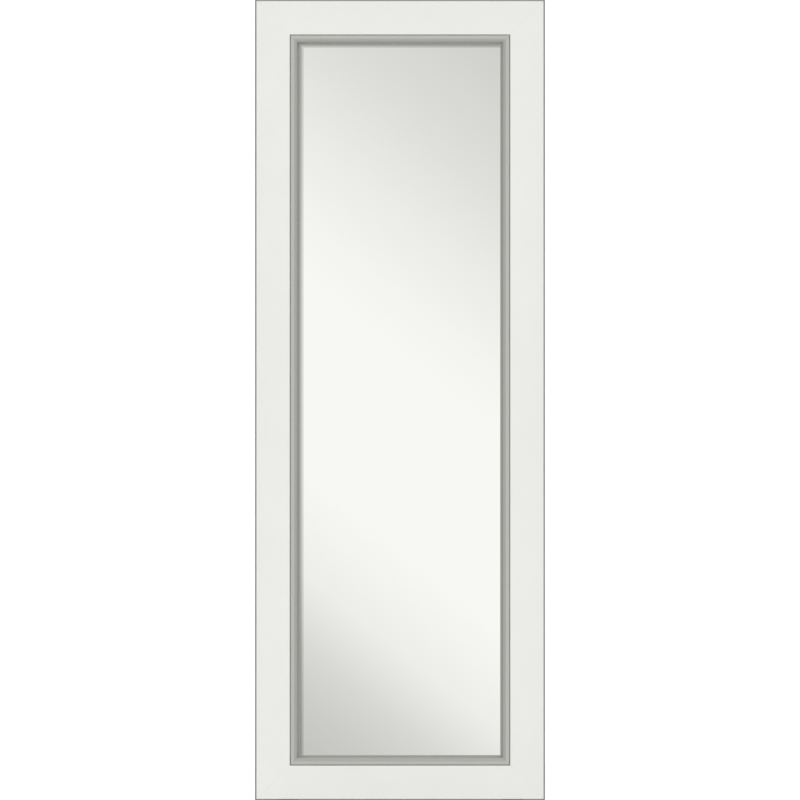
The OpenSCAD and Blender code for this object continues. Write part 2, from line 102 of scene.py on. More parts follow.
# ---------------------------------------------------------------- node trees
class Nodes:
    """A short way to write the node tree of a material or a world."""

    def __init__(self, owner):
        owner.use_nodes = True
        self.owner = owner
        self.tree = owner.node_tree
        self.shader = self.tree.nodes.get("Principled BSDF")

    def add(self, kind, **settings):
        node = self.tree.nodes.new(kind)
        for key, value in settings.items():
            setattr(node, key, value)
        return node

    def feed(self, socket, value):
        """A socket takes another one's output, a colour or a number."""
        if isinstance(value, bpy.types.NodeSocket):
            self.tree.links.new(value, socket)
        elif isinstance(value, tuple):
            socket.default_value = (*value, 1)
        else:
            socket.default_value = value

    def set(self, **values):
        for key, value in values.items():
            self.feed(self.shader.inputs[key.replace("_", " ")], value)

    def rest(self):
        """The point in the piece's own straight axes, in metres: x runs along it."""
        return self.add("ShaderNodeAttribute", attribute_name="rest").outputs["Vector"]

    def place(self):
        return self.add("ShaderNodeTexCoord").outputs["Object"]

    def split(self, vector):
        node = self.add("ShaderNodeSeparateXYZ")
        self.feed(node.inputs[0], vector)
        return node.outputs

    def stretched(self, vector, scale):
        node = self.add("ShaderNodeVectorMath", operation="MULTIPLY")
        self.feed(node.inputs[0], vector)
        node.inputs[1].default_value = scale
        return node.outputs[0]

    def math(self, operation, a, b=0.0):
        node = self.add("ShaderNodeMath", operation=operation)
        self.feed(node.inputs[0], a)
        self.feed(node.inputs[1], b)
        return node.outputs[0]

    def noise(self, vector, scale, detail=3.0, roughness=0.5):
        node = self.add("ShaderNodeTexNoise")
        self.feed(node.inputs["Vector"], vector)
        node.inputs["Scale"].default_value = scale
        node.inputs["Detail"].default_value = detail
        node.inputs["Roughness"].default_value = roughness
        return node.outputs["Fac"]

    def ramp(self, value, *stops):
        node = self.add("ShaderNodeValToRGB")
        elements = node.color_ramp.elements
        while len(elements) < len(stops):
            elements.new(0.5)
        for element, (at, colour) in zip(elements, stops):
            element.position = at
            element.color = (*colour, 1) if isinstance(colour, tuple) else (colour, colour, colour, 1)
        self.feed(node.inputs["Fac"], value)
        return node.outputs["Color"]

    def span(self, value, low, high, to_low=0.0, to_high=1.0):
        node = self.add("ShaderNodeMapRange")
        self.feed(node.inputs["Value"], value)
        for key, number in (("From Min", low), ("From Max", high), ("To Min", to_low), ("To Max", to_high)):
            node.inputs[key].default_value = number
        return node.outputs["Result"]

    def mix(self, factor, a, b, blend="MIX"):
        node = self.add("ShaderNodeMix", data_type="RGBA", blend_type=blend)
        self.feed(node.inputs[0], factor)
        self.feed(node.inputs[6], a)
        self.feed(node.inputs[7], b)
        return node.outputs[2]

    def dot(self, vector, way):
        node = self.add("ShaderNodeVectorMath", operation="DOT_PRODUCT")
        self.feed(node.inputs[0], vector)
        node.inputs[1].default_value = way
        return node.outputs["Value"]

    def mix_shaders(self, factor, a, b):
        node = self.add("ShaderNodeMixShader")
        for k, value in enumerate((factor, a, b)):
            self.feed(node.inputs[k], value)
        return node.outputs[0]

    def colour(self, value):
        self.feed(self.shader.inputs["Base Color"], value)

    def rough(self, value, low, high):
        """Roughness from low to high as a noise goes through its middle."""
        self.feed(self.shader.inputs["Roughness"], self.span(value, 0.3, 0.7, low, high))

    def bump(self, height, strength, distance=0.0002):
        node = self.add("ShaderNodeBump")
        node.inputs["Strength"].default_value = strength
        node.inputs["Distance"].default_value = distance
        self.feed(node.inputs["Height"], height)
        self.feed(self.shader.inputs["Normal"], node.outputs["Normal"])


def surface(name, **values):
    n = Nodes(bpy.data.materials.new(name))
    n.set(**values)
    return n


# ---------------------------------------------------------------- materials
def white_lacquer():
    n = surface("white_lacquer", IOR=1.46)
    at = n.rest()
    cloud = n.noise(at, 9.0, 2.0)
    n.colour(n.ramp(cloud, (0.3, (0.757, 0.762, 0.730)), (0.7, (0.771, 0.776, 0.743))))
    n.rough(n.noise(at, 260.0), 0.30, 0.38)
    n.bump(n.noise(n.stretched(at, (0.35, 1.0, 1.0)), 900.0, 2.0), 0.12)
    return n.owner


# The outer chamfer's silver edge, darkened to a grey: partly the edge's own silver, partly painted shade
# along the frame's outer arris.
def edge_silver_and_shade():
    n = surface("edge_silver_and_shade", Metallic=0.85)
    fine = n.noise(n.stretched(n.rest(), (0.04, 1.0, 1.0)), 1200.0)
    n.colour(n.ramp(fine, (0.3, (0.28, 0.28, 0.278)), (0.7, (0.325, 0.325, 0.323))))
    n.rough(fine, 0.36, 0.46)
    n.bump(fine, 0.06)
    return n.owner


def raw_wood():
    n = surface("raw_wood")
    at = n.rest()
    grain = n.noise(n.stretched(at, (0.05, 1.0, 1.0)), 420.0, 5.0, 0.6)
    broad = n.noise(n.stretched(at, (0.10, 1.0, 1.0)), 60.0, 2.0)
    base = n.ramp(grain, (0.25, (0.50, 0.345, 0.205)), (0.75, (0.66, 0.49, 0.315)))
    n.colour(n.mix(1.0, base, n.ramp(broad, (0.3, 0.82), (0.7, 1.0)), "MULTIPLY"))
    n.rough(grain, 0.62, 0.82)
    n.bump(grain, 0.35, 0.0003)
    return n.owner


# Painted shading on the slip's silver, from its outer edge to the glass: painted shade at the groove, a
# painted highlight on the flat, and painted shade darkening down its round side. The silver itself is a
# little yellow.
SLIP_PAINTED_SHADING = ((0.0, 0.45), (0.03, 0.66), (0.19, 0.62), (0.30, 0.65), (0.40, 0.56),
              (0.51, 0.495), (0.66, 0.505), (0.76, 0.385), (0.87, 0.49), (0.96, 0.475))
SLIP_GREEN, SLIP_BLUE = 1.009, 0.948


def slip_silver():
    n = surface("slip_silver", Metallic=0.82)
    at = n.rest()
    across = n.span(n.split(at)["Z"], SLIP_U * MM, (SLIP_U + SLIP_W) * MM)
    # The ramp paints shade and highlight across the slip's silver, by where a point lies across it.
    painted_shading = n.ramp(across, *((p, (t, t * SLIP_GREEN, t * SLIP_BLUE)) for p, t in SLIP_PAINTED_SHADING))
    fine = n.noise(n.stretched(at, (0.03, 1.0, 1.0)), 1500.0, 4.0, 0.6)
    n.colour(n.mix(1.0, painted_shading, n.ramp(fine, (0.3, 0.955), (0.7, 1.0)), "MULTIPLY"))
    n.rough(fine, 0.34, 0.44)
    n.bump(fine, 0.06)
    return n.owner


# A soft shadow of the slip is painted into the glass's colour along its left edge, and a lighter one along
# its top edge.
LEFT_SHADE_W, TOP_SHADE_W = 0.0075, 0.0058
SHADE = ((0.0, 0.42), (0.15, 0.475), (0.37, 0.60), (0.60, 0.72), (0.83, 0.83), (1.0, 1.0))
TOP_LIGHTER = 0.14


def mirror_silvering():
    n = surface("mirror_silvering", Metallic=1.0)
    at = n.rest()
    place = n.split(at)
    edge_x = (FRAME_W / 2 - MOULDING_W) * MM
    edge_z = (FRAME_H - MOULDING_W) * MM
    left = n.span(place["X"], -edge_x, -edge_x + LEFT_SHADE_W)
    top = n.span(place["Z"], edge_z, edge_z - TOP_SHADE_W, TOP_LIGHTER, 1.0)
    shade = n.ramp(n.math("MINIMUM", left, top), *SHADE)
    # Painted shadow: the glass's colour is darkened near its left and top edges.
    n.colour(n.mix(1.0, (0.985, 0.993, 0.949), shade, "MULTIPLY"))
    n.rough(n.noise(at, 6.0), 0.004, 0.014)
    return n.owner


# The back of the board carries the print of the wire screen that it was pressed on.
SCREEN_PITCH, SCREEN_DEPTH = 0.0014, 0.25


def hardboard():
    n = surface("hardboard", Specular_IOR_Level=0.25)
    at = n.rest()
    place = n.split(at)
    fibre = n.noise(at, 700.0, 6.0, 0.7)
    blotch = n.noise(at, 5.0, 5.0, 0.65)
    base = n.ramp(fibre, (0.30, (0.145, 0.082, 0.044)), (0.70, (0.250, 0.152, 0.086)))
    n.colour(n.mix(1.0, base, n.ramp(blotch, (0.35, 0.86), (0.65, 1.04)), "MULTIPLY"))
    n.rough(fibre, 0.60, 0.80)
    wave = 2 * math.pi / SCREEN_PITCH
    wires = [n.math("SINE", n.math("MULTIPLY", place[axis], wave)) for axis in ("X", "Z")]
    screen = n.math("MULTIPLY", n.math("MULTIPLY", *wires), SCREEN_DEPTH)
    n.bump(n.math("ADD", screen, fibre), 0.30)
    return n.owner


def card():
    n = surface("card")
    fibre = n.noise(n.place(), 500.0, 5.0, 0.7)
    n.colour(n.ramp(fibre, (0.3, (0.50, 0.37, 0.23)), (0.7, (0.60, 0.46, 0.30))))
    n.rough(fibre, 0.80, 0.95)
    n.bump(fibre, 0.2)
    return n.owner


def zinc(name, low, high, rough_low=0.26, rough_high=0.44):
    n = surface(name, Metallic=0.92)
    at = n.place()
    spangle = n.noise(at, 240.0, 4.0, 0.6)
    n.colour(n.ramp(spangle, (0.3, low), (0.7, high)))
    n.rough(n.noise(at, 900.0), rough_low, rough_high)
    n.bump(spangle, 0.10)
    return n.owner


def powder_coat():
    n = surface("powder_coat", Metallic=0.35)
    at = n.place()
    fine = n.noise(at, 1300.0, 3.0, 0.6)
    rubbed = n.noise(n.stretched(at, (1.0, 1.0, 0.12)), 90.0, 4.0, 0.7)
    base = n.ramp(fine, (0.3, (0.38, 0.385, 0.39)), (0.7, (0.46, 0.465, 0.47)))
    n.colour(n.mix(1.0, base, n.ramp(rubbed, (0.35, 0.93), (0.65, 1.03)), "MULTIPLY"))
    n.rough(rubbed, 0.38, 0.52)
    n.bump(fine, 0.22, 0.00025)
    return n.owner


def black_rubber():
    n = surface("black_rubber")
    fine = n.noise(n.place(), 1100.0, 4.0, 0.6)
    n.colour(n.ramp(fine, (0.3, (0.020, 0.020, 0.021)), (0.7, (0.036, 0.036, 0.037))))
    n.rough(fine, 0.62, 0.82)
    n.bump(fine, 0.18)
    return n.owner


def nylon():
    n = surface("nylon")
    fine = n.noise(n.place(), 800.0)
    n.colour(n.ramp(fine, (0.3, (0.74, 0.73, 0.68)), (0.7, (0.80, 0.79, 0.74))))
    n.rough(fine, 0.40, 0.52)
    n.bump(fine, 0.05)
    return n.owner


WHITE, EDGE, WOOD = white_lacquer(), edge_silver_and_shade(), raw_wood()
SLIP, MIRROR, BOARD, CARD = slip_silver(), mirror_silvering(), hardboard(), card()
ZINC = zinc("zinc_plate", (0.50, 0.51, 0.525), (0.66, 0.67, 0.67))
BRIGHT = zinc("bright_steel", (0.60, 0.60, 0.60), (0.74, 0.74, 0.73), 0.18, 0.30)
# The dark metal inside the screw and bolt recesses is painted shade.
RECESS_SHADE = zinc("screw_recess_shade", (0.10, 0.10, 0.10), (0.16, 0.16, 0.16))
POWDER, RUBBER, NYLON = powder_coat(), black_rubber(), nylon()


# ---------------------------------------------------------------- mesh helpers
MERGE = 1e-6
SHARP = math.radians(30)


def piece(name, verts, faces, materials, indices=None, rest=None):
    """A new mesh piece in the row frame. rest holds its points in straight axes, for the materials."""
    mesh = bpy.data.meshes.new(name)
    mesh.from_pydata([tuple(v) for v in verts], [], faces)
    for material in materials:
        mesh.materials.append(material)
    if indices is not None:
        mesh.polygons.foreach_set("material_index", indices)
    if rest is not None:
        layer = mesh.attributes.new("rest", "FLOAT_VECTOR", "POINT")
        layer.data.foreach_set("vector", np.array(rest, np.float32).ravel())
    bm = bmesh.new()
    bm.from_mesh(mesh)
    bmesh.ops.remove_doubles(bm, verts=bm.verts, dist=MERGE)
    bmesh.ops.recalc_face_normals(bm, faces=bm.faces)
    bm.to_mesh(mesh)
    bm.free()
    mesh.polygons.foreach_set("use_smooth", [True] * len(mesh.polygons))
    mesh.set_sharp_from_angle(angle=SHARP)
    made = bpy.data.objects.new(name, mesh)
    scene.collection.objects.link(made)
    return made


def copies(name, part, places, materials):
    """One piece of many copies of a part, which is (verts, faces) or (verts, faces, indices)."""
    verts, faces, indices = [], [], []
    part_indices = part[2] if len(part) > 2 else [0] * len(part[1])
    for place in places:
        start = len(verts)
        verts += [place @ Vector(v) for v in part[0]]
        faces += [tuple(start + i for i in face) for face in part[1]]
        indices += part_indices
    return piece(name, verts, faces, materials, indices)


def settle(made, node, body):
    """The piece stands for a CAD node, which it hides, and rides on its body."""
    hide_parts(node)
    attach(made, body)


def turns(start, end, steps):
    return [math.radians(start + (end - start) * k / steps) for k in range(steps + 1)]


def round_turns(steps):
    """The angles of a full circle, with no repeat at its end."""
    return turns(0, 360, steps)[:-1]


def arc(cx, cy, r, start, end, steps):
    return [Vector((cx + r * math.cos(t), cy + r * math.sin(t))) for t in turns(start, end, steps)]


def rounded(corners, steps=6):
    """An outline with each right-angled corner (x, y, radius) rounded."""
    out = []
    for k, (x, y, r) in enumerate(corners):
        here = Vector((x, y))
        before, after = Vector(corners[k - 1][:2]), Vector(corners[(k + 1) % len(corners)][:2])
        a, b = (before - here).normalized() * r, (after - here).normalized() * r
        rim = [here + a + b - b * math.cos(t) - a * math.sin(t) for t in turns(0, 90, steps)]
        out += rim if r else [here]
    return out


def drawn_in(loop, by):
    """A loop moved to its left by a distance: an outline shrinks, and a clockwise hole grows."""
    out = []
    for k, p in enumerate(loop):
        into, away = p - loop[k - 1], loop[(k + 1) % len(loop)] - p
        a, b = Vector((-into.y, into.x)).normalized(), Vector((-away.y, away.x)).normalized()
        out.append(p + (a + b) * (by / (1 + a.dot(b))))
    return out


def hole(x, y, r, steps=24):
    """A clockwise circle."""
    return [Vector((x + r * math.cos(t), y - r * math.sin(t))) for t in round_turns(steps)]


def stack(levels):
    """(verts, faces) of the solid through several levels. A level is an outline and the holes in it."""
    verts = [p for level in levels for loop in level for p in loop]
    per_level = len(verts) // len(levels)
    faces = []
    start = 0
    for loop in levels[0]:
        n = len(loop)
        for base in range(start, start + per_level * (len(levels) - 1), per_level):
            for i in range(n):
                j = (i + 1) % n
                faces.append((base + i, base + j, base + per_level + j, base + per_level + i))
        start += n
    for k in (0, len(levels) - 1):
        faces += [tuple(k * per_level + i for i in cap) for cap in tessellate_polygon(levels[k])]
    return verts, faces


def blank(outline, holes, t, ease=0.25):
    """A flat pressed plate from z = 0 to t with its arrises eased. A hole is (x, y, radius)."""
    loops = [outline] + [hole(*h) for h in holes]
    levels = ((0, ease), (ease, 0), (t - ease, 0), (t, ease))
    return stack([[[Vector((*p, z)) for p in drawn_in(loop, back)] for loop in loops]
                  for z, back in levels])


def along(path, distance):
    """Where a distance along a bent path comes to, and which way it then heads.

    A path is a list of parts (length, degrees turned).
    """
    x = z = heading = 0.0
    for length, degrees in path:
        step = min(distance, length)
        turn = math.radians(degrees) * step / length
        if degrees:
            r = length / math.radians(degrees)
            x += r * (math.sin(heading + turn) - math.sin(heading))
            z += r * (math.cos(heading) - math.cos(heading + turn))
        else:
            x += step * math.cos(heading)
            z += step * math.sin(heading)
        heading += turn
        distance -= step
        if distance <= 0:
            break
    return x, z, heading


BEND_STEP = 15
CUT_MERGE = 1e-4


def bent(plate, t, path, ears=None):
    """A blank of thickness t bent along x to follow a path.

    With ears, only its part with y under that number of millimetres is bent, and both ways from x = 0.
    """
    bm = bmesh.new()
    corners = [bm.verts.new(v) for v in plate[0]]
    for face in plate[1]:
        bm.faces.new([corners[i] for i in face])
    at = 0.0
    for length, degrees in path:
        steps = math.ceil(abs(degrees) / BEND_STEP)
        for k in range(steps + 1 if steps else 0):
            cut = at + length * k / steps
            for x in (cut, -cut) if ears else (cut,):
                bmesh.ops.bisect_plane(bm, geom=bm.verts[:] + bm.edges[:] + bm.faces[:], dist=CUT_MERGE,
                                       plane_co=(x, 0, 0), plane_no=(1, 0, 0))
        at += length
    for v in bm.verts:
        if ears and abs(v.co.y) > ears:
            continue
        way = -1 if ears and v.co.x < 0 else 1
        x, z, heading = along(path, v.co.x * way)
        off = v.co.z - t / 2
        v.co = (way * (x - off * math.sin(heading)), v.co.y, t / 2 + z + off * math.cos(heading))
    bm.verts.index_update()
    made = [v.co.copy() for v in bm.verts], [tuple(v.index for v in f.verts) for f in bm.faces]
    bm.free()
    return made


def lathe(profile, steps, index=0):
    """A (radius, z) profile turned about z. A radius may be a function of the angle."""
    at = round_turns(steps)
    verts, rings = [], []
    for r, z in profile:
        if r == 0:
            rings.append([len(verts)] * steps)
            verts.append(Vector((0, 0, z)))
        else:
            rings.append(list(range(len(verts), len(verts) + steps)))
            reach = [r(t) if callable(r) else r for t in at]
            verts += [Vector((d * math.cos(t), d * math.sin(t), z)) for d, t in zip(reach, at)]
    faces = []
    for low, high in zip(rings, rings[1:]):
        for i in range(steps):
            j = (i + 1) % steps
            loop = [low[i], low[j], high[j], high[i]]
            faces.append(tuple(v for k, v in enumerate(loop) if v not in loop[:k]))
    return verts, faces, [index] * len(faces)


def headed(profile, steps, recess, depth, taper):
    """A turned fastener. A crown with a recess of that outline closes the last ring of its profile."""
    verts, faces, indices = lathe(profile, steps)
    top = profile[-1][1]
    ring, rim, n = len(verts) - steps, len(verts), len(recess)
    verts += [Vector((x, y, top)) for x, y in recess]
    verts += [Vector((x * taper, y * taper, top - depth)) for x, y in recess]
    caps = tessellate_polygon([verts[ring:rim], verts[rim:rim + n]])
    crown = [tuple(ring + i for i in cap) for cap in caps]
    walls = [(rim + k, rim + (k + 1) % n, rim + n + (k + 1) % n, rim + n + k) for k in range(n)]
    faces += crown + walls + [tuple(range(rim + n, rim + 2 * n))]
    return verts, faces, indices + [0] * len(crown) + [1] * (n + 1)


def sweep(path, r, steps, closed=False):
    """A round bar of radius r along a path in the xz plane, open at its ends unless it is closed."""
    verts, faces = [], []
    n = len(path)
    side = Vector((0, 1, 0))
    for k, p in enumerate(path):
        before = path[k - 1] if closed or k else p
        after = path[(k + 1) % n] if closed or k < n - 1 else p
        heading = (after - before).normalized()
        verts += [p + (side * math.cos(t) + heading.cross(side) * math.sin(t)) * r
                  for t in round_turns(steps)]
    for k in range(n if closed else n - 1):
        here, there = k * steps, (k + 1) % n * steps
        for i in range(steps):
            j = (i + 1) % steps
            faces.append((here + i, here + j, there + j, there + i))
    return verts, faces


def islands(node):
    """The separate solids of a CAD node: the lowest and highest corner of each in straight axes."""
    mesh = frame["nodes"][node].data
    numbers = {}
    weld = [numbers.setdefault(tuple(round(c, 6) for c in v.co), len(numbers)) for v in mesh.vertices]
    parent = list(range(len(numbers)))

    def root(i):
        while parent[i] != i:
            i = parent[i]
        return i

    for face in mesh.polygons:
        first, *others = (root(weld[v]) for v in face.vertices)
        for other in others:
            parent[root(other)] = root(first)
    solids = {}
    for v in mesh.vertices:
        solids.setdefault(root(weld[v.index]), []).append(UNLEAN @ v.co)
    return [(Vector(map(min, *points)), Vector(map(max, *points))) for points in solids.values()]


OUT = Vector((0, 1, 0))


def on_back(x, z, heading=Vector((1, 0, 0)), lift=0.0):
    """A place on the back of the frame: local z points out of it and local x along the heading."""
    turn = Matrix((heading, OUT.cross(heading), OUT)).transposed().to_4x4()
    return LEAN @ Matrix.Translation((x, MOULDING_T + lift, z)) @ turn


# ---------------------------------------------------------------- moulding and slip
# HAIRLINE is what each mitre stands back, so that the joint shows as a fine line.
HAIRLINE = 0.04
SIDES = {"bottom": 0, "left": 90, "top": 180, "right": -90}
RAILS = {"bottom": "bottom_rail", "left": "left_stile", "top": "top_rail", "right": "right_stile"}


def mitred_bar(name, side, runs, materials):
    """A length of moulding.

    Its section is a closed row of runs (material index, points). Each starts where the one before it ends.
    """
    section = [(p, index) for index, run in runs for p in run[:-1]]
    flat = side in ("bottom", "top")
    length = FRAME_W if flat else FRAME_H
    n = len(section)
    rest = [(end * (length / 2 - u - HAIRLINE), y, u) for end in (-1, 1) for (u, y), _ in section]
    faces = [(i, (i + 1) % n, n + (i + 1) % n, n + i) for i in range(n)]
    faces += [tuple(range(n)), tuple(range(n, 2 * n))]
    indices = [index for _, index in section] + [len(materials) - 1] * 2
    reach = (FRAME_H if flat else FRAME_W) / 2
    turn = Matrix.Rotation(math.radians(SIDES[side]), 4, "Y")
    place = LEAN @ Matrix.Translation((0, 0, FRAME_H / 2)) @ turn @ Matrix.Translation((0, 0, -reach))
    return piece(name, [place @ Vector(p) for p in rest], faces, materials, indices, np.array(rest) * MM)


CHAMFER, BACK_EASE, LIP_EASE, REBATE_EASE = 2.4, 0.5, 0.8, 0.3
# The silver edge ends LAP from the corner, just past the chamfer, whose own two arrises are BREAK wide. The
# white wraps round the back for WRAP_BACK.
LAP, BREAK = CHAMFER + 0.2, 0.06
WRAP_BACK = 4.5
IN_WHITE, IN_EDGE, IN_WOOD = range(3)
rail_runs = [
    (IN_WHITE, [(WRAP_BACK, MOULDING_T)] + arc(BACK_EASE, MOULDING_T - BACK_EASE, BACK_EASE, 90, 180, 3)
     + [(0, LAP)]),
    (IN_EDGE, [(0, LAP), (BREAK, CHAMFER - BREAK), (CHAMFER - BREAK, BREAK), (LAP, 0)]),
    (IN_WHITE, [(LAP, 0)] + arc(FACE_W - LIP_EASE, LIP_EASE, LIP_EASE, -90, 0, 6) + [(FACE_W, LIP_T)]),
    (IN_WOOD, [(FACE_W, LIP_T), (REBATE_U, LIP_T), (REBATE_U, MOULDING_T - REBATE_EASE),
               (REBATE_U - REBATE_EASE, MOULDING_T), (WRAP_BACK, MOULDING_T)]),
]
for side, node in RAILS.items():
    made = mitred_bar(node + "_moulding", side, rail_runs, [WHITE, EDGE, WOOD])
    settle(made, node, "mirror")

# The slip starts SLIP_DROP below the face. It has a flat, a round fall of radius SLIP_R and a narrow step at
# the glass.
SLIP_DROP, SLIP_FLAT, SLIP_STEP, SLIP_R = 1.6, 6.0, 1.6, 8.1
OUTER_EASE, SIGHT_EASE = 0.6, 0.4
# Its flange has play in the rebate, and the silver runs on under the white lip.
GAP, SEAT_GAP, SIDE_GAP = 0.4, 0.1, 0.5
UNDER_LIP = FACE_W - 1
roll_end = math.degrees(math.asin((SLIP_W - SLIP_FLAT - SLIP_STEP) / SLIP_R))
step_y = SLIP_DROP + SLIP_R * (1 - math.cos(math.radians(roll_end)))
seat_y = GLASS_Y - SEAT_GAP
slip_front = (
    [(UNDER_LIP, LIP_T + GAP), (SLIP_U, LIP_T + GAP)]
    + arc(SLIP_U + OUTER_EASE, SLIP_DROP + OUTER_EASE, OUTER_EASE, 180, 270, 5)
    + arc(SLIP_U + SLIP_FLAT, SLIP_DROP + SLIP_R, SLIP_R, -90, roll_end - 90, 28)
    + arc(MOULDING_W - SIGHT_EASE, step_y + SIGHT_EASE, SIGHT_EASE, -90, 0, 4)
    + [(MOULDING_W, seat_y)]
)
slip_back = [(MOULDING_W, seat_y), (GLASS_U - SIDE_GAP, seat_y), (GLASS_U - SIDE_GAP, BOARD_Y),
             (REBATE_U + GAP, BOARD_Y), (REBATE_U + GAP, LIP_T + GAP), (UNDER_LIP, LIP_T + GAP)]
for side in RAILS:
    made = mitred_bar(side + "_slip_moulding", side, [(0, slip_front), (1, slip_back)], [SLIP, WOOD])
    settle(made, side + "_slip", "mirror")


# ---------------------------------------------------------------- glass and board
GLASS_EASE, BOARD_EASE, BOARD_GAP = 0.5, 0.25, 0.6


def sheet(name, u, y, t, ease, material):
    """A flat sheet whose edges lie u inside the frame's, with its arrises eased."""
    w, h = FRAME_W / 2 - u, FRAME_H / 2 - u
    levels = []
    for depth, back in ((y, ease), (y + ease, 0), (y + t - ease, 0), (y + t, ease)):
        corners = [(-1, -1), (1, -1), (1, 1), (-1, 1)]
        levels.append([[Vector((a * (w - back), depth, FRAME_H / 2 + b * (h - back))) for a, b in corners]])
    rest, faces = stack(levels)
    return piece(name, [LEAN @ p for p in rest], faces, [material], None, np.array(rest) * MM)


pane = sheet("mirror_pane", GLASS_U, GLASS_Y, GLASS_T, GLASS_EASE, MIRROR)
settle(pane, "mirror_glass", "mirror")
board = sheet("hardboard_back", REBATE_U + BOARD_GAP, BOARD_Y, BOARD_T, BOARD_EASE, BOARD)
settle(board, "backing_board", "mirror")


# ---------------------------------------------------------------- screws
HEAD_H = 2.15
SCREW_HOLE_R = 1.8
RECESS_DEPTH, RECESS_TAPER = 1.0, 0.8
# Each screw was driven home to a turn of its own.
FIRST_TURN, NEXT_TURN = 11, 37


def pan_head(shank):
    """A domed cross-recess head with its seat at z = 0, and a plain shank under it."""
    profile = [(0, -shank), (1.4, 0.6 - shank), (1.45, 0), (3.1, 0), (3.35, 0.25),
               (3.25, 0.85), (2.95, 1.35), (2.5, 1.8), (2.05, 2.05), (1.9, HEAD_H)]
    arm, half = 1.7, 0.42
    cross = [(half, half), (half, arm), (-half, arm), (-half, half), (-arm, half), (-arm, -half),
             (-half, -half), (-half, -arm), (half, -arm), (half, -half), (arm, -half), (arm, half)]
    return headed(profile, 28, cross, RECESS_DEPTH, RECESS_TAPER)


SHANKS = {"clip_screws": 13, "corner_plate_screws": 12, "bracket_screws": 15, "hanger_screws": 13}
for node, shank in SHANKS.items():
    places = []
    for k, (low, high) in enumerate(islands(node)):
        turn = math.radians(NEXT_TURN * k + FIRST_TURN)
        heading = Vector((math.cos(turn), 0, math.sin(turn)))
        lift = high.y - HEAD_H - MOULDING_T
        places.append(on_back((low.x + high.x) / 2, (low.z + high.z) / 2, heading, lift))
    settle(copies(node + "_pan_head", pan_head(shank), places, [BRIGHT, RECESS_SHADE]), node, "mirror")


# ---------------------------------------------------------------- corner plates and V-nails
CORNER_HEADINGS = {(-1, 1): (1, 0, 0), (1, 1): (0, 0, -1), (1, -1): (-1, 0, 0), (-1, -1): (0, 0, 1)}


def at_corner_solids(node, lift=0.0):
    """Where each corner solid of a node has its outer corner, with local x and y along its two legs."""
    places = []
    for low, high in islands(node):
        sx = 1 if low.x + high.x > 0 else -1
        sz = 1 if low.z + high.z > FRAME_H else -1
        x, z = (high.x if sx > 0 else low.x), (high.z if sz > 0 else low.z)
        places.append(on_back(x, z, Vector(CORNER_HEADINGS[sx, sz]), lift))
    return places


PLATE_LEG, PLATE_W, PLATE_T, PLATE_EASE = 60.0, 14.0, 2.0, 0.3
HOLES_ALONG = (26, 50)
corner_outline = rounded([(0, 0, 4), (PLATE_LEG, 0, 5), (PLATE_LEG, PLATE_W, 5), (PLATE_W, PLATE_W, 1.5),
                          (PLATE_W, PLATE_LEG, 5), (0, PLATE_LEG, 5)])
corner_holes = ([(d, PLATE_W / 2, SCREW_HOLE_R) for d in HOLES_ALONG]
                + [(PLATE_W / 2, d, SCREW_HOLE_R) for d in HOLES_ALONG])
plate = blank(corner_outline, corner_holes, PLATE_T, PLATE_EASE)
made = copies("pressed_corner_plates", plate, at_corner_solids("corner_plates"), [ZINC])
settle(made, "corner_plates", "mirror")


def ribbon(path, width):
    """The outline of a strip of a given width along an open path."""
    left, right = [], []
    for k, p in enumerate(path):
        before = (p - path[k - 1]).normalized() if k else (path[1] - p).normalized()
        after = (path[k + 1] - p).normalized() if k < len(path) - 1 else before
        a, b = Vector((-before.y, before.x)), Vector((-after.y, after.x))
        aside = (a + b) * (width / 2 / (1 + a.dot(b)))
        left.append(p + aside)
        right.append(p - aside)
    return right + left[::-1]


# A V-nail is a strip folded at 90 degrees with its two ends curled. It is driven in almost flush.
NAIL_DEPTH, NAIL_T, NAIL_PROUD, NAIL_EASE = 10.0, 0.8, 0.12, 0.12
v_path = ([Vector((7.4, 2.1)), Vector((6.4, 1.4))] + arc(1.5, 1.5, 1.1, -80, -190, 5)
          + [Vector((1.4, 6.4)), Vector((2.1, 7.4))])
nail = blank(ribbon(v_path, NAIL_T), [], NAIL_DEPTH + NAIL_PROUD, NAIL_EASE)
made = copies("driven_v_nails", nail, at_corner_solids("corner_v_nails", -NAIL_DEPTH), [ZINC])
settle(made, "corner_v_nails", "mirror")


# ---------------------------------------------------------------- clips
def offset_clip():
    """A strip screwed down at its heel, with a step down onto the board. Its screw hole is at the origin."""
    width, t, heel, step_at, toe_at = 12.0, 1.2, 6.0, 9.0, 19.4
    slope, bend_r = 69.0, 1.2
    fall = MOULDING_T - BOARD_Y - BOARD_T
    turn = math.radians(slope)
    bend_l = bend_r * turn
    slope_l = (fall - 2 * bend_r * (1 - math.cos(turn))) / math.sin(turn)
    slope_end = step_at + 2 * bend_r * math.sin(turn) + slope_l * math.cos(turn)
    path = [(heel + step_at, 0), (bend_l, -slope), (slope_l, 0), (bend_l, slope), (toe_at - slope_end, 0)]
    length = sum(part for part, _ in path)
    outline = rounded([(0, -width / 2, 2), (length, -width / 2, 2.5),
                       (length, width / 2, 2.5), (0, width / 2, 2)])
    verts, faces = bent(blank(outline, [(heel, 0, SCREW_HOLE_R)], t), t, path)
    return [v - Vector((heel, 0, 0)) for v in verts], faces


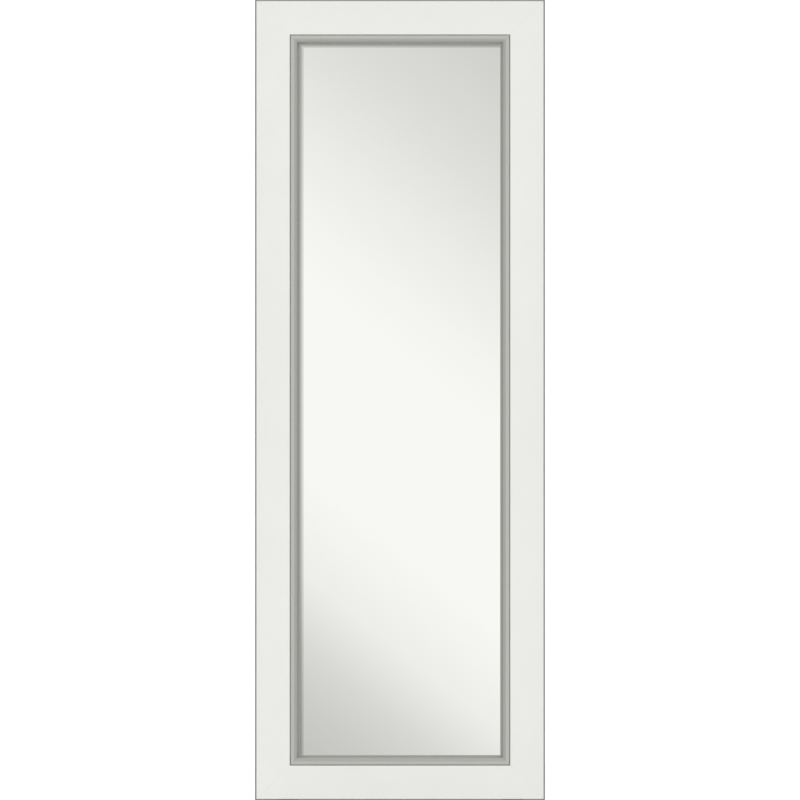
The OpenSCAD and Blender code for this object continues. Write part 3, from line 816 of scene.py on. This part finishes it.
# Each clip points inwards from the nearest side of the frame.
clip_places = []
for low, high in islands("clip_screws"):
    x, z = (low.x + high.x) / 2, (low.z + high.z) / 2
    reach = {(1, 0, 0): x + FRAME_W / 2, (-1, 0, 0): FRAME_W / 2 - x, (0, 0, 1): z, (0, 0, -1): FRAME_H - z}
    clip_places.append(on_back(x, z, Vector(min(reach, key=reach.get))))
made = copies("pressed_backing_clips", offset_clip(), clip_places, [ZINC])
settle(made, "backing_clips", "mirror")


# ---------------------------------------------------------------- hangers
STRAP_W, STRAP_L, STRAP_T = 16.0, 42.0, 1.2
STRAP_HOLES = (22, 35)
# The ring's bar lies EYE_OFF off the frame, and the strap's end is rolled ROLL degrees round it.
EYE_OFF, ROLL = 2.8, 290
RING_R, RING_HALF, RING_LEG, RING_BEND = 1.4, 10.6, 4.5, 3.0


def hanger_strap():
    """A strip with two screw holes, its end rolled round the ring's bar, which is over the origin."""
    roll_l = (EYE_OFF - STRAP_T / 2) * math.radians(ROLL)
    length = STRAP_L + roll_l
    outline = rounded([(0, -STRAP_W / 2, 5), (length, -STRAP_W / 2, 1), (length, STRAP_W / 2, 1),
                       (0, STRAP_W / 2, 5)])
    holes = [(STRAP_L - down, 0, SCREW_HOLE_R) for down in STRAP_HOLES]
    verts, faces = bent(blank(outline, holes, STRAP_T), STRAP_T, [(STRAP_L, 0), (roll_l, ROLL)])
    return [v - Vector((STRAP_L, 0, 0)) for v in verts], faces


def d_ring():
    """A D of round wire that hangs from its straight bar, which lies along x."""
    corner = RING_HALF - RING_BEND
    outline = (arc(-corner, -RING_BEND, RING_BEND, 180, 90, 8)
               + arc(corner, -RING_BEND, RING_BEND, 90, 0, 8)
               + arc(0, -RING_LEG, RING_HALF, 0, -180, 36))
    return sweep([Vector((x, 0, z)) for x, z in outline], RING_R, 24, closed=True)


JOINTS = {joint["name"]: joint for joint in frame["joints"]}
for side in ("left", "right"):
    eye = Vector(JOINTS[side + "_ring_swing"]["pos_m"])
    straight_eye = UNLEAN @ eye
    place = on_back(straight_eye.x, straight_eye.z, Vector((0, 0, 1)))
    made = copies(side + "_rolled_strap", hanger_strap(), [place], [ZINC])
    settle(made, side + "_hanger_strap", "mirror")
    made = copies(side + "_d_ring", d_ring(), [Matrix.Translation(eye) @ Matrix.Scale(MM, 4)], [BRIGHT])
    settle(made, side + "_hanger_ring", side + "_ring")


# ---------------------------------------------------------------- hinges
TUBE_R = 8.0
WASHER_R, WASHER_T = 6.5, 1.0
BRACKET_T = 2.0
EAR_IN, EAR_R, EAR_BEND_R = 9.2, 10.0, 1.0
EAR_OUT = EAR_IN + BRACKET_T
# CLEAR keeps surfaces that touch from lying in one plane.
BOLT_R, CLEAR = 3.0, 0.02
pivot = Vector(JOINTS["stand_fold"]["pos_m"])
straight_pivot = UNLEAN @ pivot
PIVOT_OFF = straight_pivot.y - MOULDING_T


def hinge_bracket():
    """One blank with wide ends and two ears, bent up at both sides of its waist."""
    half_w, half_h, waist, relief = 16.0, 34.0, EAR_IN - EAR_BEND_R, 0.95
    hole_x, hole_y = 9, 25
    bend_l = (EAR_BEND_R + BRACKET_T / 2) * math.pi / 2
    pin = waist + bend_l + PIVOT_OFF - BRACKET_T - EAR_BEND_R
    notch = EAR_R + 2 * relief + 0.1
    half = (rounded([(0, -half_h, 0), (half_w, -half_h, 5), (half_w, -notch, 1.5),
                     (waist, -notch, relief), (waist, -EAR_R, relief), (pin, -EAR_R, 0)])
            + arc(pin, 0, EAR_R, -90, 90, 20)[1:-1]
            + rounded([(pin, EAR_R, 0), (waist, EAR_R, relief), (waist, notch, relief),
                       (half_w, notch, 1.5), (half_w, half_h, 5), (0, half_h, 0)]))
    outline = half + [-p for p in half[1:-1]]
    holes = [(a * hole_x, b * hole_y, SCREW_HOLE_R) for a in (-1, 1) for b in (-1, 1)]
    holes += [(a * pin, 0, BOLT_R + 0.1, 32) for a in (-1, 1)]
    path = [(waist, 0), (bend_l, 90), (4 * EAR_R, 0)]
    return bent(blank(outline, holes, BRACKET_T, PLATE_EASE), BRACKET_T, path, ears=(EAR_R + notch) / 2)


def button_bolt():
    """A hex-socket button bolt along z with the tube's centre at z = 0, and a threaded tail."""
    tail, seat = -EAR_OUT - 7.6, EAR_OUT + CLEAR
    crest, groove, thread_pitch, threads = 2.97, 2.62, 0.8, 4
    socket_r, socket_depth = 2.25, 1.8
    profile = [(0, tail), (2.45, tail), (2.95, tail + 0.5)]
    for k in range(threads):
        profile += [(groove, tail + 0.9 + thread_pitch * k), (crest, tail + 1.3 + thread_pitch * k)]
    head = [(5.0, 0), (5.2, 0.2), (5.2, 0.8), (5.0, 1.5), (4.5, 2.3), (3.7, 3.0), (3.0, 3.3)]
    profile += [(crest, seat)] + [(r, seat + z) for r, z in head]
    hexagon = [(socket_r * math.cos(t), socket_r * math.sin(t)) for t in round_turns(6)]
    return headed(profile, 48, hexagon, socket_depth, 1.0)


def lock_nut():
    """A chamfered hexagon nut with a collar that holds a nylon ring. Its seat is at z = 0."""
    flat, h, corner = 4.85, 4.5, 5.6

    def hexagonal(limit):
        return lambda t: min(limit, flat / math.cos((t + math.pi / 6) % (math.pi / 3) - math.pi / 6))

    chamfer = [(4.7, 0), (4.95, 0.12), (5.2, 0.26), (5.4, 0.38), (corner, 0.5)]
    body = [(hexagonal(limit), z) for limit, z in chamfer]
    body += [(hexagonal(limit), h - z) for limit, z in reversed(chamfer)]
    bore, bore_ease, steps = BOLT_R + CLEAR, 0.4, 72
    mouth, brim = (bore + bore_ease, 0), (3.75, h + 1.35)
    collar = [(4.5, h + 0.05), (4.5, h + 1.0), (4.3, h + 1.35), (3.9, h + 1.5), brim]
    verts, faces, indices = lathe([mouth] + body + collar, steps)
    inside = [brim, (3.6, h + 1.3), (3.2, h + 1.3), (bore, h + 1.2), (bore, bore_ease), mouth]
    ring_verts, ring_faces, ring_indices = lathe(inside, steps, 1)
    start = len(verts)
    faces += [tuple(start + i for i in face) for face in ring_faces]
    return verts + ring_verts, faces, indices + ring_indices


def washer():
    """A flat washer with eased rims, about z = 0."""
    bore, ease, half = BOLT_R + 0.08, 0.18, WASHER_T / 2
    return lathe([(bore + ease, -half), (WASHER_R - ease, -half), (WASHER_R, ease - half),
                  (WASHER_R, half - ease), (WASHER_R - ease, half), (bore + ease, half),
                  (bore, half - ease), (bore, ease - half), (bore + ease, -half)], 56)


def axle(x, outward):
    """A place on the stand's pivot line, with local z pointing outwards along it."""
    turn = Matrix((INWARD * outward, UP, RIGHT * outward)).transposed().to_4x4()
    return Matrix.Translation((x * MM, pivot.y, pivot.z)) @ turn @ Matrix.Scale(MM, 4)


washer_places = [axle((low.x + high.x) / 2, 1) for low, high in islands("pivot_washers")]
nut_places = []
for side, out in (("left", -1), ("right", 1)):
    low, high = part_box(side + "_hinge_bracket")
    x = (low.x + high.x) / 2 / MM
    place = on_back(x, straight_pivot.z)
    made = copies(side + "_pressed_bracket", hinge_bracket(), [place], [ZINC])
    settle(made, side + "_hinge_bracket", "mirror")
    made = copies(side + "_button_bolt", button_bolt(), [axle(x, out)], [BRIGHT, RECESS_SHADE])
    settle(made, side + "_pivot_bolt", "mirror")
    nut_places.append(axle(x - out * (EAR_OUT + CLEAR), -out))
settle(copies("nylon_washers", washer(), washer_places, [NYLON]), "pivot_washers", "mirror")
settle(copies("pivot_lock_nuts", lock_nut(), nut_places, [BRIGHT, NYLON]), "pivot_nuts", "mirror")


# ---------------------------------------------------------------- foot pads
def foot_pad(x):
    """A rubber wedge with a counterbored screw hole: its top lies along the rail, its sole on the floor."""
    half_w, front, back, corner = 18.0, 4.0, 22.0, 3.0
    screw_y, bore_r, bore_top = 15.0, 3.3, -0.6
    sole_ease, top_ease = 0.6, 0.4
    outline = rounded([(x - half_w, front, corner), (x + half_w, front, corner),
                       (x + half_w, back, corner), (x - half_w, back, corner)])
    wide, narrow = hole(x, screw_y, bore_r, 32), hole(x, screw_y, SCREW_HOLE_R, 32)

    def sole(y):
        return -(LEAN[2][1] * y + LEAN[2][3]) / LEAN[2][2]

    def level(z, loops):
        return [[Vector((*p, z(p.y))) for p in loop] for loop in loops]

    return stack([
        level(sole, [drawn_in(outline, sole_ease), wide]),
        level(lambda y: sole(y) + sole_ease, [outline]) + level(lambda y: bore_top, [wide]),
        level(lambda y: -top_ease, [outline]) + level(lambda y: bore_top, [narrow]),
        level(lambda y: 0.0, [drawn_in(outline, top_ease), narrow]),
    ])


for side in ("left", "right"):
    low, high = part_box(side + "_foot_pad")
    made = copies(side + "_rubber_wedge", foot_pad((low.x + high.x) / 2 / MM), [LEAN], [RUBBER])
    settle(made, side + "_foot_pad", "mirror")


# ---------------------------------------------------------------- stand
# STAND takes the stand's own axes in millimetres to the row frame: its legs run down -z from the pivot.
BEND_R, SLEEVE_R = 45.0, 10.5
tube_low, tube_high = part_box("stand_tube")
bar = Vector((0, tube_high.y - TUBE_R * MM, tube_low.z + TUBE_R * MM))
leg_up = (pivot - bar).normalized()
LEG_L = (pivot - bar).length / MM
LEG_X = tube_high.x / MM - TUBE_R
stand_axes = Matrix((RIGHT, leg_up.cross(RIGHT), leg_up)).transposed()
STAND = Matrix.Translation(pivot) @ stand_axes.to_4x4() @ Matrix.Scale(MM, 4)
UNSTAND = STAND.inverted()
tube_top = max((UNSTAND @ v.co).z for v in frame["nodes"]["stand_tube"].data.vertices)


def bent_tube():
    """A round tube bent to a U, with its two top ends open and bored."""
    steps, bore_r, bore_depth = 40, 6.8, 6.0
    turn_z = BEND_R - LEG_L
    leg = [Vector((-LEG_X, 0, tube_top + (turn_z - tube_top) * k / 10)) for k in range(11)]
    corner = [Vector((x, 0, z)) for x, z in arc(BEND_R - LEG_X, turn_z, BEND_R, 180, 270, 16)[1:]]
    half = leg + corner
    path = half + [Vector((-p.x, 0, p.z)) for p in reversed(half)]
    verts, faces = sweep(path, TUBE_R, steps)
    for first, x in ((0, -LEG_X), (len(verts) - steps, LEG_X)):
        centre = Vector((x, 0, tube_top))
        start = len(verts)
        for drop in (0, bore_depth):
            verts += [centre + (verts[first + i] - centre) * (bore_r / TUBE_R) - Vector((0, 0, drop))
                      for i in range(steps)]
        for i in range(steps):
            j = (i + 1) % steps
            faces += [(first + i, first + j, start + j, start + i),
                      (start + i, start + j, start + steps + j, start + steps + i)]
        faces.append(tuple(range(start + steps, start + 2 * steps)))
    return verts, faces


def end_cap():
    """A cap with a round edge on a ribbed stem. The tube's end is at z = 0."""
    stem_r, groove_r, half_groove, stem_end = 6.7, 6.4, 0.5, -5.8
    profile = [(0, 2.5), (5.2, 2.5), (6.9, 2.3), (7.7, 1.7), (7.95, 0.9), (7.95, 0), (stem_r, 0)]
    for z in (-1.5, -3.5, -5.3):
        profile += [(stem_r, z + half_groove), (groove_r, z), (stem_r, z - half_groove)]
    return lathe(profile + [(0, stem_end)], 40)


def grip_sleeve(half_l):
    """A moulded sleeve along z with rolled ends and shallow grooves."""
    bore, r, pitch = TUBE_R + 0.05, SLEEVE_R, 3.25
    floor_r, half_mouth, half_floor = r - 0.45, 0.7, 0.35
    end = [(bore, 0.4 - half_l), (bore + 0.35, -half_l), (r - 1.0, -half_l), (r - 0.3, 0.3 - half_l),
           (r, 1.0 - half_l)]
    grooves = []
    for k in range(-4, 5):
        z = k * pitch
        grooves += [(r, z - half_mouth), (floor_r, z - half_floor), (floor_r, z + half_floor),
                    (r, z + half_mouth)]
    return lathe(end + grooves + [(d, -z) for d, z in reversed(end)] + end[:1], 48)


settle(copies("bent_tube", bent_tube(), [STAND], [POWDER]), "stand_tube", "stand")
for side, out in (("left", -1), ("right", 1)):
    place = STAND @ Matrix.Translation((out * LEG_X, 0, tube_top))
    made = copies(side + "_tube_end_cap", end_cap(), [place], [RUBBER])
    settle(made, side + "_tube_plug", "stand")
    low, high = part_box(side + "_stand_sleeve")
    lie = Matrix.Rotation(math.radians(90), 4, "Y")
    place = STAND @ Matrix.Translation(((low.x + high.x) / 2 / MM, 0, -LEG_L)) @ lie
    made = copies(side + "_grip_sleeve", grip_sleeve((high.x - low.x) / 2 / MM), [place], [RUBBER])
    settle(made, side + "_stand_sleeve", "stand")

# ---------------------------------------------------------------- CAD pieces that stay, with their finish
for node, material in {"card_spacer": CARD, "foot_pad_screws": BRIGHT}.items():
    kept = frame["nodes"][node]
    if not kept.material_slots:
        kept.data.materials.append(material)
    for slot in kept.material_slots:
        slot.link = "OBJECT"
        slot.material = material

# ---------------------------------------------------------------- studio
# The floor lies a hair below the rubber. It glows a little, as lit paper does, and reflections don't see it.
FLOOR_R, FLOOR_DROP, FLOOR_GLOW = 14.0, 0.0003, 0.32
floor = bpy.data.objects.new("floor", bpy.data.meshes.new("floor"))
rim = [(FLOOR_R * math.cos(t), FLOOR_R * math.sin(t), -FLOOR_DROP) for t in round_turns(96)]
floor.data.from_pydata(rim, [], [tuple(range(len(rim)))])
paper = surface("floor_paper", Roughness=0.75, Emission_Strength=FLOOR_GLOW, Emission_Color=(1.0, 1.0, 1.0))
paper.colour(paper.ramp(paper.noise(paper.place(), 3.0), (0.3, 0.90), (0.7, 0.91)))
floor.data.materials.append(paper.owner)
scene.collection.objects.link(floor)
floor.visible_glossy = False

# A reflector card behind the camera fills what the glass reflects in the straight-on view. Its tones follow
# a diagonal, brightest in the middle, and it fades out past the part that the straight-on view needs.
CARD_BEHIND = 0.6
SPREAD = 1 + (SHOT_D + CARD_BEHIND) / SHOT_D
CARD_TONES = ((0.05, 0.56), (0.10, 0.61), (0.155, 0.69), (0.21, 0.81), (0.235, 0.86), (0.285, 0.90),
              (0.34, 0.945), (0.55, 0.945), (0.60, 0.92), (0.71, 0.835), (0.815, 0.735), (0.95, 0.64))
CARD_SLOPE, CARD_REACH = 0.8, 0.8
NEEDED_W, NEEDED_H = 0.19, 0.62
FADE = 0.35


def reflector_card():
    n = Nodes(bpy.data.materials.new("reflector_card"))
    n.tree.nodes.clear()
    place = n.split(n.stretched(n.place(), (1 / SPREAD,) * 3))
    diagonal = n.math("ADD", n.math("MULTIPLY", place["X"], CARD_SLOPE), place["Y"])
    glow, clear = n.add("ShaderNodeEmission"), n.add("ShaderNodeBsdfTransparent")
    n.feed(glow.inputs["Color"], n.ramp(n.span(diagonal, -CARD_REACH, CARD_REACH), *CARD_TONES))
    past_w = n.span(n.math("ABSOLUTE", place["X"]), NEEDED_W, NEEDED_W + FADE)
    past_h = n.span(n.math("ABSOLUTE", place["Y"]), NEEDED_H, NEEDED_H + FADE)
    faded = n.mix_shaders(n.math("MAXIMUM", past_w, past_h), glow.outputs[0], clear.outputs[0])
    n.feed(n.add("ShaderNodeOutputMaterial").inputs["Surface"], faded)
    return n.owner


half_w, half_h = (NEEDED_W + FADE) * SPREAD, (NEEDED_H + FADE) * SPREAD
reflector = bpy.data.objects.new("reflector_card", bpy.data.meshes.new("reflector_card"))
corners = [(a * half_w, b * half_h, 0) for a, b in ((-1, -1), (1, -1), (1, 1), (-1, 1))]
reflector.data.from_pydata(corners, [], [(0, 1, 2, 3)])
reflector.data.materials.append(reflector_card())
scene.collection.objects.link(reflector)
reflector.matrix_world = Matrix.Translation(middle + TO_FRONT * (SHOT_D + CARD_BEHIND)) @ FACING_SHOT
reflector.visible_camera = False
reflector.visible_diffuse = False
reflector.visible_shadow = False

# ROOM_LIGHT runs from behind the mirror to in front of it, and lights it most from those two ends.
# Reflections see ROOM_SEEN, from the floor up: a pale floor, a wall that is greyer low down, and a bright
# ceiling. The camera sees a plain white backdrop.
ROOM_LIGHT = ((0.0, 0.95), (0.25, 0.90), (0.45, 0.62), (0.55, 0.55), (0.75, 0.85), (0.92, 1.05),
              (1.0, 1.10))
ROOM_SEEN = ((0.0, 0.66), (0.485, 0.74), (0.52, 0.64), (0.62, 0.72), (0.80, 0.82), (1.0, 0.90))

# Slanting bands of light, as wide in the glass as the one in the straight-on view.
BAND_ACROSS, BAND_PITCH, BAND_SWING = (0.66, 0.20, 0.72), 0.24, 0.12
BACKDROP = 1.2


def studio_world():
    n = Nodes(bpy.data.worlds.new("studio"))
    n.tree.nodes.clear()
    way = n.add("ShaderNodeTexCoord").outputs["Generated"]
    lit, seen, backdrop = (n.add("ShaderNodeBackground") for _ in range(3))
    n.feed(lit.inputs["Color"], n.ramp(n.span(n.dot(way, TO_FRONT), -1, 1), *ROOM_LIGHT))
    wave = n.math("COSINE", n.math("MULTIPLY", n.dot(way, BAND_ACROSS), 2 * math.pi / BAND_PITCH))
    bands = n.span(wave, -1, 1, 1 - BAND_SWING, 1 + BAND_SWING)
    room = n.ramp(n.span(n.split(way)["Z"], -1, 1), *ROOM_SEEN)
    n.feed(seen.inputs["Color"], n.mix(1.0, room, bands, "MULTIPLY"))
    backdrop.inputs["Color"].default_value = (1, 1, 1, 1)
    backdrop.inputs["Strength"].default_value = BACKDROP
    ray = n.add("ShaderNodeLightPath").outputs
    reflected = n.mix_shaders(ray["Is Glossy Ray"], lit.outputs[0], seen.outputs[0])
    direct = n.mix_shaders(ray["Is Camera Ray"], reflected, backdrop.outputs[0])
    n.feed(n.add("ShaderNodeOutputWorld").inputs["Surface"], direct)
    return n.owner


scene.world = studio_world()

# One wide soft light from overhead, a little to the left of the mirror and behind it.
SUN_POWER, SUN_SPREAD, SUN_PITCH, SUN_ROLL = 0.9, 28, -8, -9
overhead = bpy.data.objects.new("overhead", bpy.data.lights.new("overhead", "SUN"))
overhead.data.energy = SUN_POWER
overhead.data.angle = math.radians(SUN_SPREAD)
overhead.rotation_euler = (math.radians(SUN_PITCH), math.radians(SUN_ROLL), 0)
overhead.visible_glossy = False
scene.collection.objects.link(overhead)

scene.view_settings.view_transform = "Standard"
scene.view_settings.look = "None"
